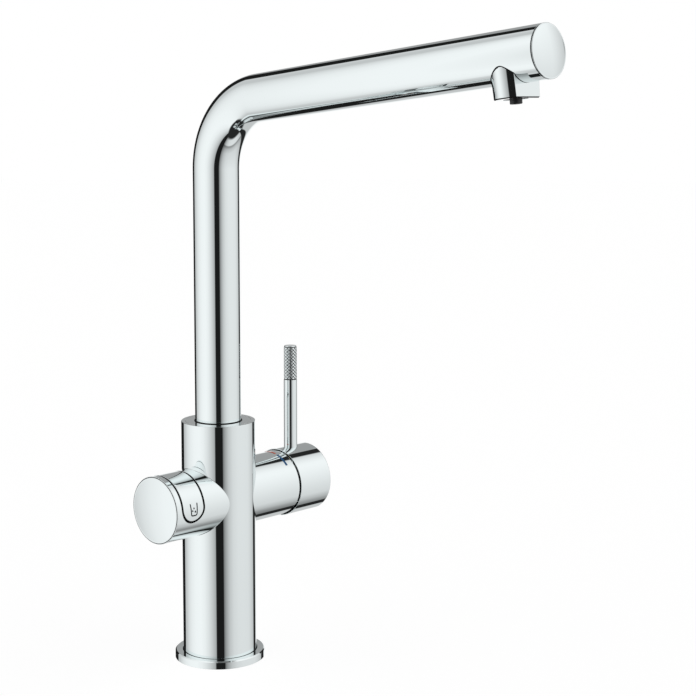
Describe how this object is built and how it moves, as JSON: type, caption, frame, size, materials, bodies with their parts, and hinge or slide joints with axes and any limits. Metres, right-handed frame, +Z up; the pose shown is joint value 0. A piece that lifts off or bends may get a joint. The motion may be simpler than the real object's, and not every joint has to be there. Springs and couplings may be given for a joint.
{
  "type": "filtered water kitchen mixer tap",
  "caption": "Deck-mounted mixer tap with an L-shaped swivel spout, a side lever turning about two axes, a saddle rocker that selects filtered water and a separate filtered water nozzle.",
  "frame": {"origin": "centre of the base where it stands on the worktop, on the pole's axis", "axes": "+Z up along the body and pole, -Y towards the user along the spout, +X towards the mixing lever"},
  "size_m": [0.129, 0.2735, 0.3797],
  "materials": {
    "chrome": "polished",
    "brass": "machined",
    "steel": "satin",
    "white_plastic": "moulded",
    "grey_plastic": "moulded",
    "dark_plastic": "moulded",
    "ceramic": "lapped ceramic",
    "seal_rubber": "moulded",
    "hot_enamel": "filled enamel",
    "cold_enamel": "filled enamel",
    "board": "lacquered board",
    "lead_jacket": "smooth"
  },
  "bodies": {
    "body": {"base_flange": "chrome", "base_gasket": "seal_rubber", "mixer_body": "chrome", "hot_mark": "hot_enamel", "cold_mark": "cold_enamel", "waterway_core": "brass", "filter_spigot": "brass", "cartridge_housing": "white_plastic", "cartridge_nut": "brass", "cartridge_seals": "seal_rubber", "fixed_disc": "ceramic", "selector_carrier": "dark_plastic", "push_switches": "dark_plastic", "rocker_pin": "steel", "return_springs": "steel", "circuit_board": "board", "end_cap": "chrome", "end_cap_seal": "seal_rubber", "control_lead": "lead_jacket", "lead_plug": "dark_plastic", "thrust_ring": "white_plastic", "stop_ring": "white_plastic", "lock_screw": "steel", "slide_ring": "white_plastic", "collar_ring": "chrome"},
    "spout": {"spout_sleeve": "brass", "sleeve_seals": "seal_rubber", "hose_coupling": "white_plastic", "filter_hose": "white_plastic", "spout_tube": "chrome", "spout_end_lid": "chrome", "outlet_block": "chrome", "aerator": "grey_plastic", "filter_nozzle": "dark_plastic"},
    "temperature_spindle": {"spindle_guide": "white_plastic", "pivot_pin": "steel"},
    "disc_slider": {"sliding_disc": "ceramic", "disc_driver": "white_plastic"},
    "lever": {"lever_stem": "steel", "lever_cap": "chrome", "handle_rod": "chrome", "cap_grub_screw": "steel", "screw_plug": "dark_plastic"},
    "selector": {"selector_rocker": "chrome"}
  },
  "joints": [
    {"name": "spout_swivel", "type": "hinge", "parent": "body", "child": "spout", "pos_m": [0, 0, 0.137], "axis": [0, 0, 1], "range_deg": [-75, 75]},
    {"name": "lever_temperature", "type": "hinge", "parent": "body", "child": "temperature_spindle", "pos_m": [0.04, 0, 0.1006], "axis": [1, 0, 0], "range_deg": [-28, 62]},
    {"name": "lever_flow", "type": "hinge", "parent": "temperature_spindle", "child": "lever", "pos_m": [0.04, 0, 0.1006], "axis": [0, 1, 0], "range_deg": [0, 20]},
    {"name": "disc_slide", "type": "slide", "parent": "temperature_spindle", "child": "disc_slider", "axis": [0, 0, 1], "range_m": [0, 0.0042]},
    {"name": "selector_press", "type": "hinge", "parent": "body", "child": "selector", "pos_m": [-0.03825, 0, 0.1172], "axis": [1, 0, 0], "range_deg": [-1.2, 1.2], "stiffness_Nm_per_rad": 0.6}
  ],
  "couplings": [
    {"joint": "disc_slide", "follows": "lever_flow", "m_per_rad": 0.01176}
  ]
}
